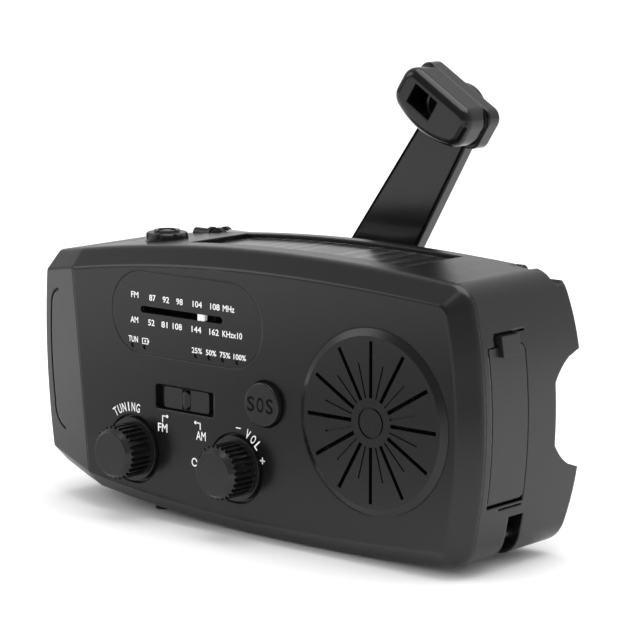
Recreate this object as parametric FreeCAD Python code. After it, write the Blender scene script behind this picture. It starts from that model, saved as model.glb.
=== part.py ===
"""Hand-crank emergency radio: arched case, lamp cap, crank gear train, telescopic antenna.

Frame: millimetres, X to the right seen from the front, Y to the back, Z up, origin at the
bottom centre of the whole radio with its crank raised.
"""
import FreeCAD, Part
import math
import os

V = FreeCAD.Vector
os.makedirs("parts", exist_ok=True)

# ---------------------------------------------------------------- driving dimensions
CASE_HALF_W = 62.8        # half the width of the case
CASE_DEPTH = 36.85        # front face to rear face
CASE_LOW, CASE_HIGH = 0.3, 61.7
WALL = 2.0
BEVEL = 4.0               # front edge bevel
SEAM_DEPTH = 4.6          # front cover to housing joint, from the front face
CORNER_R = 6.0
KNOB_PROUD = 7.3
ARM_OFFSET = 47.4         # crank arm's front face, from the case's front face
ARM_T = 3.4
GAP = 0.25                # gap round doors and buttons

TOTAL_DEPTH = KNOB_PROUD + ARM_OFFSET + ARM_T
FRONT = KNOB_PROUD - TOTAL_DEPTH / 2      # Y of the front face
BACK = FRONT + CASE_DEPTH
SEAM = FRONT + SEAM_DEPTH
MID_Z = (CASE_LOW + CASE_HIGH) / 2

# case outline
CREST_X = 10.0                            # crest of the arched top and bottom
ARCH_R_LEFT, ARCH_R_RIGHT = 400.0, 560.0
LEFT_X, RIGHT_X = -60.2, 59.0             # corners of the bulging ends
RIM_FILLET, FACE_FILLET = 2.2, 1.0        # behind the bevel, and between it and the front face
LAMP_SLOPE = 0.345                        # how fast the front recedes over the lamp cap
CAP_TOP_X, CAP_TOP_Z = -49.8, 66.0        # joint of the lamp cap, at the top and bottom
CAP_LOW_X, CAP_LOW_Z = -42.9, -5.0

# crank
HUB_X, HUB_Z = -16.3, 30.9
CRANK_ANGLE = 57.1                        # raised, from +X
ARM_FRONT = FRONT + ARM_OFFSET
ARM_MID = ARM_FRONT + ARM_T / 2
HINGE_R = 10.0                            # fold hinge, from the hub's axis
ARM_END_R = 75.0
GRIP_R = 71.2
HUB_TOP = ARM_FRONT - 0.5
EAR_IN, EAR_OUT = 5.0, 8.0                # ears of the fold hinge, from the arm's centre line
PIN_R, PIN_BORE_R = 1.2, 1.24
HUB_SHAFT_R, NECK_R = 3.0, 7.0
ARM_NEAR, ARM_FAR = HINGE_R + 4.0, ARM_END_R - 6.2
ARM_HALF_NEAR, ARM_HALF_FAR = 9.0, 6.2
GRIP_FLANGE_T, GRIP_DEPTH = 3.4, 10.0
GRIP_BACK = ARM_FRONT - 0.12
GRIP_FRONT = GRIP_BACK - GRIP_DEPTH
GRIP_SCREW_R, GRIP_BOSS_R = 1.6, 2.9
CHANNEL_FLOOR = FRONT + 28.1
POCKET_R = 14.5

# front face
SPEAKER_X, SPEAKER_Z, SPEAKER_R = 37.65, 30.2, 19.3
KNOBS = {"tuning": -30.15, "volume": -0.05}
KNOB_Z, KNOB_R, KNOB_FLANGE_R, KNOB_WELL_R = 15.2, 5.6, 7.0, 7.6
DIAL_X, DIAL_Z, DIAL_W, DIAL_H, DIAL_R = -14.3, 45.7, 43.6, 18.2, 8.9
SLOT_LEFT, SLOT_RIGHT, SLOT_Z, SLOT_H = -27.6, -3.6, 46.45, 1.5
POINTER_X = -9.8
SWITCH_X, SWITCH_Z, SWITCH_W, SWITCH_H = -14.85, 27.9, 17.2, 5.4
SOS_X, SOS_Z, SOS_R = 8.5, 30.2, 4.7
LED_SPOTS = [(-30.0, 38.3), (-26.4, 38.2), (-11.3, 38.1), (-7.4, 38.1), (-3.4, 38.1), (0.6, 38.1)]
LED_R = 0.55
PANEL_T = 0.8
POINTER_BACK = FRONT + 3.2
SHAFT_R, SHAFT_BORE_R = 3.0, 3.06
KNURL_RIBS, KNURL_DEPTH = 28, 0.75
KNURL_HALF_FOOT, KNURL_HALF_TOP = 0.28, 0.16    # of a rib, as shares of the rib spacing
SLIDER_TRAVEL = 1.8

# top and sides
LAMP_BUTTON_X, LAMP_BUTTON_Y, LAMP_BUTTON_R = -35.8, FRONT + 17.0, 4.7
SOLAR_X0, SOLAR_X1, SOLAR_Y0, SOLAR_Y1 = -22.2, 38.2, FRONT + 9.8, FRONT + 28.3
SOLAR_DEPTHS = [0.9, 1.7, 2.6, 4.0]       # window top, cell top, cell bottom, tray bottom
DOOR_Y0, DOOR_Y1, DOOR_Z0, DOOR_Z1 = FRONT + 6.8, FRONT + 18.4, 14.9, 47.0
DOOR_HINGE_X, DOOR_HINGE_R = 60.75, 0.8
DOOR_T = 1.6
TAB_Y0, TAB_Y1, TAB_Z0, TAB_Z1 = FRONT + 10.1, FRONT + 15.9, 45.1, 49.2
TAB_PROUD, TAB_SINK = 1.0, 1.0
PORT_WALL_X = 57.2
PORT_Y = (DOOR_Y0 + DOOR_Y1) / 2
USB_Z, MICRO_Z = 36.0, 22.5
STRAP_Y0, STRAP_Y1 = FRONT + 14.6, FRONT + 19.6
STRAP_BAR_X, STRAP_BAR_Z, STRAP_BAR_R = 57.4, 7.2, 1.2
RING_HOLE_X, RING_HOLE_Y, RING_HOLE_R = -45.6, FRONT + 16.6, 0.6
ANTENNA_Y, ANTENNA_Z = FRONT + 33.1, 58.4
ANTENNA_PIVOT_X, ANTENNA_TIP_X = -34.0, 50.8
ANTENNA_RADII = [1.55, 1.2, 0.87, 0.55]
ANTENNA_START, ANTENNA_END = ANTENNA_PIVOT_X + 2.4, ANTENNA_TIP_X - 2.6
ANTENNA_PIN_R, TONGUE_HALF = 0.5, 0.65
SWIVEL_POST_R = 1.2
KNUCKLE_SPACE_R = 4.0
DIP_X, DIP_Z, DIP_R = 52.8, 59.5, 7.0     # finger dip at the antenna's tip
SCREWS = [(-40.6, 10.0), (47.5, 8.8), (46.0, 53.3), (-43.8, 50.5)]
FEET_X, FEET_Y, FOOT_R = (-31.0, 36.0), (FRONT + 10.5, FRONT + 27.0), 2.0

# lamp in the left end
LAMP_Y0, LAMP_Y1, LAMP_Z0, LAMP_Z1 = FRONT + 10.5, FRONT + 31.0, 15.5, 46.5
LAMP_LENS_X, LAMP_LENS_T = -61.9, 1.2
LAMP_Y, LAMP_HEIGHTS = (LAMP_Y0 + LAMP_Y1) / 2, [23.0, 31.0, 39.0]
LAMP_LED_R = 1.3
LAMP_BOARD_X = -54.0

# gear train: module, and teeth of each wheel
MODULE = 0.6
DRIVE_TEETH, IDLER_PINION_TEETH, IDLER_TEETH, ROTOR_TEETH = 40, 12, 36, 10
IDLER_X = HUB_X - MODULE * (DRIVE_TEETH + IDLER_PINION_TEETH) / 2
IDLER_Z = HUB_Z
GENERATOR_R = 9.0
ROTOR_ANGLE = 50.0                        # direction from the idler to the generator
ROTOR_GAP = MODULE * (IDLER_TEETH + ROTOR_TEETH) / 2
ROTOR_X = IDLER_X + ROTOR_GAP * math.cos(math.radians(ROTOR_ANGLE))
ROTOR_Z = IDLER_Z + ROTOR_GAP * math.sin(math.radians(ROTOR_ANGLE))
DRIVE_Y, IDLER_Y, GEAR_T = FRONT + 21.9, FRONT + 19.1, 2.4


# ---------------------------------------------------------------- helpers
def box(x0, x1, y0, y1, z0, z1):
    return Part.makeBox(x1 - x0, y1 - y0, z1 - z0, V(x0, y0, z0))


def rod_y(x, z, radius, y0, y1):
    return Part.makeCylinder(radius, y1 - y0, V(x, y0, z), V(0, 1, 0))


def rod_x(y, z, radius, x0, x1):
    return Part.makeCylinder(radius, x1 - x0, V(x0, y, z), V(1, 0, 0))


def rod_z(x, y, radius, z0, z1):
    return Part.makeCylinder(radius, z1 - z0, V(x, y, z0), V(0, 0, 1))


def tube_y(x, z, r_out, r_in, y0, y1):
    return rod_y(x, z, r_out, y0, y1).cut(rod_y(x, z, r_in, y0, y1))


def arc(a, b, c):
    return Part.Arc(a, b, c).toShape()


def prism(edges, sweep):
    return Part.Face(Part.Wire(edges)).extrude(sweep)


def polygon(points, sweep):
    return Part.Face(Part.makePolygon(points + points[:1])).extrude(sweep)


def edges_along(shape, axis):
    """Straight edges parallel to an axis."""
    found = []
    for edge in shape.Edges:
        if edge.Curve.TypeId == "Part::GeomLine" and abs(edge.tangentAt(0).dot(axis)) > 0.999:
            found.append(edge)
    return found


def rounded_y(x, z, width, height, radius, y0, y1):
    """Rounded rectangle centred on x, z and swept along Y."""
    block = box(x - width / 2, x + width / 2, y0, y1, z - height / 2, z + height / 2)
    return block.makeFillet(radius, edges_along(block, V(0, 1, 0)))


def at_crank_angle(shape):
    """From the lying pose, along +X, to the raised pose."""
    turned = shape.copy()
    turned.rotate(V(HUB_X, 0, HUB_Z), V(0, 1, 0), -CRANK_ANGLE)
    return turned


def save(name, shape):
    solids = shape.Solids
    result = solids[0] if len(solids) == 1 else Part.makeCompound(solids)
    result.exportStep("parts/" + name + ".step")


# ---------------------------------------------------------------- case form
def arch_z(x, sign, inset):
    """Height of the arched top (sign 1) or bottom (sign -1) at x."""
    edge = CASE_HIGH if sign > 0 else CASE_LOW
    radius = ARCH_R_LEFT if x < CREST_X else ARCH_R_RIGHT
    return edge - sign * (inset + (x - CREST_X) ** 2 / (2 * radius))


def case_outline(inset, y0, y1):
    """Arched top and bottom with bulging ends."""
    x_left, x_right, bulge = LEFT_X + inset, RIGHT_X - inset, CASE_HALF_W - inset

    def point(x, sign):
        return V(x, y0, arch_z(x, sign, inset))

    def half_arch(x, sign):
        return arc(point(x, sign), point((x + CREST_X) / 2, sign), point(CREST_X, sign))

    edges = [
        half_arch(x_left, 1), half_arch(x_right, 1), half_arch(x_left, -1), half_arch(x_right, -1),
        arc(point(x_right, 1), V(bulge, y0, MID_Z), point(x_right, -1)),
        arc(point(x_left, 1), V(-bulge, y0, MID_Z), point(x_left, -1)),
    ]
    form = prism(Part.__sortEdges__(edges), V(0, y1 - y0, 0))
    corners = [e for e in edges_along(form, V(0, 1, 0)) if e.CenterOfMass.x > CREST_X + 1]
    return form.makeFillet(CORNER_R - inset / 2, corners)


def side_profile(inset):
    """Flat front, and a back with rounded upper and lower edges, seen from the end."""
    x0 = -80.0
    front, high = FRONT + inset, CASE_HIGH + 5
    back = BACK - inset

    def upper(depth, z):
        return V(x0, FRONT + depth - inset, z)

    def lower(depth, z):
        return V(x0, FRONT + depth - inset, 2 * MID_Z - z)

    edge_top = CASE_HIGH - 1.0 - inset
    edges = [
        Part.makeLine(V(x0, front, 2 * MID_Z - high), V(x0, front, high)),
        Part.makeLine(V(x0, front, high), upper(31.2, high)),
        Part.makeLine(upper(31.2, high), upper(31.2, edge_top)),
        arc(upper(31.2, edge_top), upper(33.7, 59.4 - inset), upper(34.7, 57.0 - inset)),
        arc(upper(34.7, 57.0 - inset), upper(36.1, 50.2), V(x0, back, 43.3)),
        Part.makeLine(V(x0, back, 43.3), V(x0, back, 2 * MID_Z - 43.3)),
        arc(V(x0, back, 2 * MID_Z - 43.3), lower(36.1, 50.2), lower(34.7, 57.0 - inset)),
        arc(lower(34.7, 57.0 - inset), lower(33.7, 59.4 - inset), lower(31.2, edge_top)),
        Part.makeLine(lower(31.2, edge_top), lower(31.2, high)),
        Part.makeLine(lower(31.2, high), V(x0, front, 2 * MID_Z - high)),
    ]
    return prism(edges, V(160, 0, 0))


def cap_side(gap=0.0):
    """Everything to the left of the lamp cap's slanting joint."""
    points = [V(-80, -60, CAP_LOW_Z), V(CAP_LOW_X - gap, -60, CAP_LOW_Z),
              V(CAP_TOP_X - gap, -60, CAP_TOP_Z), V(-80, -60, CAP_TOP_Z)]
    return polygon(points, V(0, 120, 0))


def recede(shape):
    """Slopes the front of the lamp cap backwards, the more the further from its joint."""
    lean = (CAP_TOP_X - CAP_LOW_X) / (CAP_TOP_Z - CAP_LOW_Z)
    shear = FreeCAD.Matrix()
    shear.A21 = -LAMP_SLOPE
    shear.A23 = LAMP_SLOPE * lean
    shear.A24 = LAMP_SLOPE * (CAP_LOW_X - lean * CAP_LOW_Z)
    sloped = shape.transformGeometry(shear)
    sloped.fix(1e-4, 1e-5, 1e-3)
    return sloped


def channel(clearance):
    """Storage channel for the folded crank, open to the back and to the right end."""
    x0 = HUB_X
    floor = CHANNEL_FLOOR - clearance
    half_floor = 6.5 + clearance * 0.6

    def wall_point(depth, half):
        return depth + FRONT, half + clearance

    y_mid, half_mid = wall_point(31.2, 9.9)
    y_out, half_out = wall_point(33.2, 11.2)
    y_tip, half_tip = BACK + 0.5, 12.6 + clearance
    zc = HUB_Z
    edges = [
        Part.makeLine(V(x0, floor, zc - half_floor), V(x0, floor, zc + half_floor)),
        arc(V(x0, floor, zc + half_floor), V(x0, y_mid, zc + half_mid), V(x0, y_out, zc + half_out)),
        Part.makeLine(V(x0, y_out, zc + half_out), V(x0, y_tip, zc + half_tip)),
        Part.makeLine(V(x0, y_tip, zc + half_tip), V(x0, y_tip, zc - half_tip)),
        Part.makeLine(V(x0, y_tip, zc - half_tip), V(x0, y_out, zc - half_out)),
        arc(V(x0, y_out, zc - half_out), V(x0, y_mid, zc - half_mid), V(x0, floor, zc - half_floor)),
    ]
    trough = prism(edges, V(90, 0, 0))
    pocket = rod_y(HUB_X, HUB_Z, POCKET_R + clearance, floor, BACK + 1)
    return trough.fuse(pocket)


def antenna_groove(clearance):
    """Groove for the lying antenna, open to the top and the right end, with a finger dip."""
    radius = ANTENNA_RADII[0] + 0.3 + clearance
    x0 = ANTENNA_PIVOT_X - 4 - clearance
    trough = rod_x(ANTENNA_Y, ANTENNA_Z, radius, x0, 70)
    above = box(x0, 70, ANTENNA_Y - radius, ANTENNA_Y + radius, ANTENNA_Z, CASE_HIGH + 2)
    knuckle = Part.makeSphere(KNUCKLE_SPACE_R + clearance, V(ANTENNA_PIVOT_X, ANTENNA_Y, ANTENNA_Z))
    dip = rod_y(DIP_X, DIP_Z + DIP_R, DIP_R + clearance, ANTENNA_Y - 4 - clearance, BACK + 5)
    return trough.fuse([above, knuckle, dip])


def bevelled_block(inset):
    """Case outline with its front edge bevelled, except at the left end."""
    block = case_outline(inset, FRONT + inset, BACK + 5)
    left_end = LEFT_X + inset + 0.5
    rim = [e for e in block.Edges
           if e.BoundBox.YMax < FRONT + inset + 0.01 and e.CenterOfMass.x > left_end]
    block = block.makeChamfer(BEVEL, rim)
    if inset > 0:
        return block
    for y, radius in ((FRONT + BEVEL, RIM_FILLET), (FRONT, FACE_FILLET)):
        line = [e for e in block.Edges if e.BoundBox.YLength < 0.01
                and abs(e.CenterOfMass.y - y) < 0.01 and e.CenterOfMass.x > left_end]
        block = block.makeFillet(radius, line)
    return block


def main_form(inset):
    return bevelled_block(inset).cut(cap_side(-inset)).common(side_profile(inset))


def cap_form(inset):
    return recede(bevelled_block(inset).common(cap_side())).common(side_profile(inset))


MAIN_OUTER = main_form(0.0)
MAIN_HOLLOW = main_form(WALL).cut([channel(WALL), antenna_groove(1.4)])
MAIN_SHELL = MAIN_OUTER.cut([MAIN_HOLLOW, channel(0), antenna_groove(0)])
CAP_OUTER = cap_form(0.0)
CAP_SHELL = CAP_OUTER.cut(cap_form(WALL))
FRONT_SPACE = box(-80, 80, FRONT - 5, SEAM, -5, 70)


# ---------------------------------------------------------------- case pieces
def dial_slot(y0, y1):
    width = SLOT_RIGHT - SLOT_LEFT
    return rounded_y((SLOT_LEFT + SLOT_RIGHT) / 2, SLOT_Z, width, SLOT_H, SLOT_H * 0.49, y0, y1)


def port_block():
    """Frame round the sockets behind the port door."""
    return box(PORT_WALL_X, 70, DOOR_Y0 - 2, DOOR_Y1 + 2, DOOR_Z0 - 2, DOOR_Z1 + 5).common(MAIN_OUTER)


def front_cover():
    lip = main_form(WALL).cut(main_form(WALL + 1.2))
    lip = lip.common(box(-80, 80, SEAM - 1.2, SEAM + 1.4, -5, 70)).cut(port_block())
    cover = MAIN_SHELL.common(FRONT_SPACE).fuse(lip)
    posts = [rod_y(x, z, 3.2, FRONT + 1.0, SEAM + 3.0).cut(MAIN_SHELL) for x, z in SCREWS]
    cover = cover.fuse(posts)
    cuts = [
        rod_y(SPEAKER_X, SPEAKER_Z, SPEAKER_R + 0.04, FRONT - 1, FRONT + 3),
        rounded_y(DIAL_X, DIAL_Z, DIAL_W, DIAL_H, DIAL_R, FRONT - 1, FRONT + PANEL_T),
        dial_slot(FRONT - 1, FRONT + 3),
        rounded_y(SWITCH_X, SWITCH_Z, SWITCH_W, SWITCH_H, 0.8, FRONT - 1, FRONT + 3),
        rod_y(SOS_X, SOS_Z, SOS_R + GAP, FRONT - 1, FRONT + 3),
    ]
    for x in KNOBS.values():
        cuts.append(rod_y(x, KNOB_Z, KNOB_WELL_R, FRONT - 1, FRONT + 1.0))
        cuts.append(rod_y(x, KNOB_Z, SHAFT_BORE_R, FRONT - 1, FRONT + 4))
    for x, z in LED_SPOTS:
        cuts.append(rod_y(x, z, LED_R + 0.03, FRONT - 1, FRONT + 3))
    for x, z in SCREWS:
        cuts.append(rod_y(x, z, 1.45, FRONT + 2.5, SEAM + 4))
    return cover.cut(cuts)


def door_opening(gap):
    """Block that cuts the port door out of the right end."""
    block = box(50, 70, DOOR_Y0 - gap, DOOR_Y1 + gap, DOOR_Z0 - 1.5 * gap, DOOR_Z1 + gap)
    rear = [e for e in edges_along(block, V(1, 0, 0)) if e.CenterOfMass.y > DOOR_Y0 + 2]
    return block.makeFillet(1.6 + gap, rear)


def strap_space(grow):
    """Pocket for a wrist strap, open at the right end and at the bottom."""
    return box(52.8 - grow, 70, STRAP_Y0 - grow, STRAP_Y1 + grow, -5, 11.6 + grow)


def arched(depth):
    """Everything that lies deeper than this below the arched top."""
    return case_outline(depth, -60, 60)


def main_housing():
    shell = MAIN_SHELL.cut(FRONT_SPACE)
    strap_box = strap_space(1.4).common(MAIN_OUTER)
    solar_tray = box(SOLAR_X0 - 1.5, SOLAR_X1 + 1.5, SOLAR_Y0 - 1.5, SOLAR_Y1 + 1.2, 50, 62)
    solar_tray = solar_tray.common(MAIN_OUTER).cut(arched(SOLAR_DEPTHS[3]))
    bushing_boss = tube_y(HUB_X, HUB_Z, 6.0, 4.0, CHANNEL_FLOOR - WALL - 1.5, CHANNEL_FLOOR - WALL)
    posts = [rod_y(x, z, 3.8, SEAM + 3.0, BACK) for x, z in SCREWS]
    posts = Part.makeCompound(posts).common(MAIN_OUTER).Solids
    housing = shell.fuse([port_block(), strap_box, solar_tray, bushing_boss] + posts)
    button_z = arch_z(LAMP_BUTTON_X, 1, 0)
    cuts = [
        channel(0), antenna_groove(0),
        door_opening(GAP).cut(box(40, PORT_WALL_X + 1.6, -60, 60, -10, 80)),
        box(DOOR_HINGE_X - DOOR_HINGE_R, 70, DOOR_Y0 - GAP, DOOR_Y1 + GAP,
            DOOR_Z0 - 1.5 * GAP, DOOR_Z0 + 1.4),
        box(58.0, 70, TAB_Y0 - 1.3, TAB_Y1 + 0.1, DOOR_Z1 - 2.0, TAB_Z1 + 0.2).cut(
            MAIN_OUTER.translated(V(-TAB_SINK - 0.15, 0, 0))),
        box(58.0, 70, TAB_Y0 - 1.3, TAB_Y1 + 3.0, TAB_Z1 + 0.1, TAB_Z1 + 0.6).cut(
            MAIN_OUTER.translated(V(-0.8, 0, 0))),
        box(58.0, 70, FRONT + 10.6, FRONT + 18.3, 13.6, 14.0).cut(MAIN_OUTER.translated(V(-0.8, 0, 0))),
        box(50, 70, PORT_Y - 3.6, PORT_Y + 3.6, USB_Z - 7.3, USB_Z + 7.3),
        box(50, 70, PORT_Y - 1.9, PORT_Y + 1.9, MICRO_Z - 4.3, MICRO_Z + 4.3),
        strap_space(0),
        box(SOLAR_X0, SOLAR_X1, SOLAR_Y0, SOLAR_Y1, 50, 64).cut(arched(SOLAR_DEPTHS[2])),
        rod_z(LAMP_BUTTON_X, LAMP_BUTTON_Y, LAMP_BUTTON_R + GAP, button_z - 5, button_z + 5),
        rod_y(HUB_X, HUB_Z, 4.0, CHANNEL_FLOOR - 6, CHANNEL_FLOOR + 1),
        rod_x(ANTENNA_Y, ANTENNA_Z, SWIVEL_POST_R, ANTENNA_PIVOT_X - 8.0, ANTENNA_PIVOT_X),
        rod_z(RING_HOLE_X, RING_HOLE_Y, RING_HOLE_R, 55.5, 60),
    ]
    for x, z in SCREWS:
        cuts.append(rod_y(x, z, 1.6, SEAM, BACK + 1))
        cuts.append(rod_y(x, z, 3.0, BACK - 9.0, BACK + 1))
    for x in FEET_X:
        for y in FEET_Y:
            cuts.append(rod_z(x, y, FOOT_R + 0.03, -1, arch_z(x, -1, 0) + 0.8))
    return housing.cut(cuts)


def lamp_window(grow, x0, x1):
    width, height = LAMP_Y1 - LAMP_Y0 + 2 * grow, LAMP_Z1 - LAMP_Z0 + 2 * grow
    block = Part.makeBox(x1 - x0, width, height, V(x0, LAMP_Y0 - grow, LAMP_Z0 - grow))
    return block.makeFillet(4.0 + grow, edges_along(block, V(1, 0, 0)))


def cap_groove():
    """Shallow bracket-shaped groove in the receding front of the cap."""
    y0 = FRONT - 2

    def path(offset):
        top, low = V(-55.6, y0, 47.6 + offset), V(-54.8, y0, 15.9 - offset)
        mid = V(-60.2 - offset, y0, 33.0)
        shoulder_top, shoulder_low = V(-59.4 - offset, y0, 43.6), V(-59.4 - offset, y0, 21.6)
        return (arc(top, V(-58.3 - offset * 0.7, y0, 46.2 + offset * 0.7), shoulder_top),
                arc(shoulder_top, mid, shoulder_low),
                arc(shoulder_low, V(-58.0 - offset * 0.7, y0, 17.4 - offset * 0.7), low))

    outside, inside = path(0.28), path(-0.28)
    ends = [Part.makeLine(outside[0].Vertexes[0].Point, inside[0].Vertexes[0].Point),
            Part.makeLine(outside[2].Vertexes[-1].Point, inside[2].Vertexes[-1].Point)]
    loop = Part.Wire(Part.__sortEdges__([*outside, *inside, *ends]))
    band = Part.Face(loop).extrude(V(0, 16, 0))
    return band.cut(CAP_OUTER.translated(V(0, 0.55, 0)))


def lamp_cap():
    cap = CAP_SHELL.cut([lamp_window(0.03, -80, -55), cap_groove()])
    frame = lamp_window(1.6, -59.5, -57.5).cut(lamp_window(-1.2, -60, -57))
    return cap.fuse(frame.common(CAP_OUTER))


def lamp_lens():
    return lamp_window(0, LAMP_LENS_X, LAMP_LENS_X + LAMP_LENS_T).common(CAP_OUTER)


def lamp_reflector():
    block = lamp_window(-1.3, -60.4, LAMP_BOARD_X - 0.2)
    for z in LAMP_HEIGHTS:
        bowl = Part.makeCone(3.8, 1.6, 6.6, V(-60.6, LAMP_Y, z), V(1, 0, 0))
        block = block.cut(bowl)
    return block


def lamp_leds():
    leds = []
    for z in LAMP_HEIGHTS:
        body = rod_x(LAMP_Y, z, LAMP_LED_R, LAMP_BOARD_X - 2 * LAMP_LED_R, LAMP_BOARD_X)
        dome = Part.makeSphere(LAMP_LED_R, V(LAMP_BOARD_X - 2 * LAMP_LED_R, LAMP_Y, z))
        leds.append(body.fuse(dome))
    return Part.makeCompound(leds)


def lamp_board():
    return box(LAMP_BOARD_X, LAMP_BOARD_X + 1.2, LAMP_Y0 + 1.0, LAMP_Y1 - 1.0, LAMP_Z0 + 1, LAMP_Z1 - 1)


# ---------------------------------------------------------------- front face pieces
def dial_panel():
    panel = rounded_y(DIAL_X, DIAL_Z, DIAL_W - 0.1, DIAL_H - 0.1, DIAL_R, FRONT, FRONT + PANEL_T)
    holes = [rod_y(x, z, LED_R + 0.03, FRONT - 1, FRONT + 2) for x, z in LED_SPOTS]
    return panel.cut([dial_slot(FRONT - 1, FRONT + 2)] + holes)


def indicator_leds():
    leds = [rod_y(x, z, LED_R, FRONT + 0.3, FRONT + 4.0) for x, z in LED_SPOTS]
    return Part.makeCompound(leds)


def dial_pointer():
    """White needle with four ribs, on a carriage that runs in the rail."""
    low, high = SLOT_Z - 0.68, SLOT_Z + 0.68
    needle = box(POINTER_X - 0.95, POINTER_X + 0.95, FRONT + 0.15, FRONT + 2.3, low, high)
    ribs = [box(POINTER_X + dx - 0.13, POINTER_X + dx + 0.13, FRONT - 0.1, FRONT + 0.2, low, high)
            for dx in (-0.72, -0.24, 0.24, 0.72)]
    carriage = box(POINTER_X - 2.2, POINTER_X + 2.2, FRONT + 2.2, POINTER_BACK, SLOT_Z - 2.4, SLOT_Z + 2.4)
    return needle.fuse(ribs + [carriage])


def dial_rail():
    rail = box(SLOT_LEFT - 3.5, SLOT_RIGHT + 3.5, FRONT + 2.0, FRONT + 4.6, SLOT_Z - 4.2, SLOT_Z + 4.2)
    track = box(SLOT_LEFT - 1.8, SLOT_RIGHT + 1.8, FRONT + 1.9, POINTER_BACK + 0.1,
                SLOT_Z - 2.5, SLOT_Z + 2.5)
    return rail.cut(track)


def speaker_grille():
    y_top = FRONT - 0.8
    rim = Part.makeCone(SPEAKER_R - 1.5, SPEAKER_R, 0.8, V(SPEAKER_X, y_top, SPEAKER_Z), V(0, 1, 0))
    disc = rim.fuse(rod_y(SPEAKER_X, SPEAKER_Z, SPEAKER_R, FRONT, FRONT + 1.6))
    hollow = rod_y(SPEAKER_X, SPEAKER_Z, SPEAKER_R - 2.4, FRONT + 0.6, FRONT + 2)
    cuts = [hollow]
    for i in range(12):
        long_slot = box(5.1, 16.8, y_top - 1, FRONT + 2, -0.42, 0.42)
        thin_slot = box(5.1, 12.4, y_top - 1, y_top + 0.35, -0.17, 0.17)
        long_slot.rotate(V(0, 0, 0), V(0, 1, 0), 30.0 * i)
        thin_slot.rotate(V(0, 0, 0), V(0, 1, 0), 30.0 * i + 15.0)
        centre = V(SPEAKER_X, 0, SPEAKER_Z)
        cuts += [long_slot.translated(centre), thin_slot.translated(centre)]
    ring = tube_y(SPEAKER_X, SPEAKER_Z, 3.3, 2.9, y_top - 1, y_top + 0.35)
    return disc.cut(cuts + [ring])


def speaker_frame():
    rim = tube_y(SPEAKER_X, SPEAKER_Z, 18.0, 15.6, FRONT + 2.2, FRONT + 4.0)
    outer = Part.makeCone(17.6, 10.0, 7.0, V(SPEAKER_X, FRONT + 4.0, SPEAKER_Z), V(0, 1, 0))
    inner = Part.makeCone(16.8, 9.2, 7.0, V(SPEAKER_X, FRONT + 4.0, SPEAKER_Z), V(0, 1, 0))
    windows = []
    for i in range(4):
        window = box(11.5, 20, FRONT + 5.5, FRONT + 9.0, -4.5, 4.5)
        window.rotate(V(0, 0, 0), V(0, 1, 0), 45 + 90 * i)
        windows.append(window.translated(V(SPEAKER_X, 0, SPEAKER_Z)))
    back = tube_y(SPEAKER_X, SPEAKER_Z, 10.0, 5.4, FRONT + 11.0, FRONT + 12.0)
    return rim.fuse(outer.cut([inner] + windows)).fuse(back)


def speaker_cone():
    outer = Part.makeCone(15.2, 5.0, 6.4, V(SPEAKER_X, FRONT + 4.2, SPEAKER_Z), V(0, 1, 0))
    inner = Part.makeCone(14.7, 4.5, 6.4, V(SPEAKER_X, FRONT + 4.2, SPEAKER_Z), V(0, 1, 0))
    surround = tube_y(SPEAKER_X, SPEAKER_Z, 15.5, 14.8, FRONT + 3.2, FRONT + 4.3)
    cap = rod_y(SPEAKER_X, SPEAKER_Z, 5.0, FRONT + 10.0, FRONT + 10.6)
    return outer.cut(inner).fuse([surround, cap])


def speaker_magnet():
    return rod_y(SPEAKER_X, SPEAKER_Z, 11.0, FRONT + 12.0, FRONT + 15.4).fuse(
        rod_y(SPEAKER_X, SPEAKER_Z, 5.2, FRONT + 10.8, FRONT + 12.0))


def knob(x):
    """Knurled knob with a bevelled face, a base flange and its shaft."""
    face_y = FRONT - KNOB_PROUD
    rib_r = KNOB_R + 0.3
    root_r = rib_r - KNURL_DEPTH
    points = []
    for i in range(KNURL_RIBS):
        for radius, share in ((root_r, -KNURL_HALF_FOOT), (rib_r, -KNURL_HALF_TOP),
                              (rib_r, KNURL_HALF_TOP), (root_r, KNURL_HALF_FOOT)):
            angle = 2 * math.pi * (i + share) / KNURL_RIBS
            points.append(V(x + radius * math.cos(angle), face_y + 1.1, KNOB_Z + radius * math.sin(angle)))
    knurl = polygon(points, V(0, KNOB_PROUD - 1.6, 0))
    face = Part.makeCone(KNOB_R - 1.0, KNOB_R - 0.1, 1.1, V(x, face_y, KNOB_Z), V(0, 1, 0))
    flange = rod_y(x, KNOB_Z, KNOB_FLANGE_R, FRONT - 0.6, FRONT + 0.7)
    shaft = rod_y(x, KNOB_Z, SHAFT_R, FRONT + 0.6, FRONT + 9.5)
    return face.fuse([knurl, flange, shaft])


def rotary_part(x, size, y0, y1):
    """Tuning capacitor or volume control, with a bearing for its knob's shaft."""
    body = rounded_y(x, KNOB_Z, size, size, 1.0, y0, y1)
    return body.cut(rod_y(x, KNOB_Z, SHAFT_BORE_R, y0 - 1, FRONT + 9.7))


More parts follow.
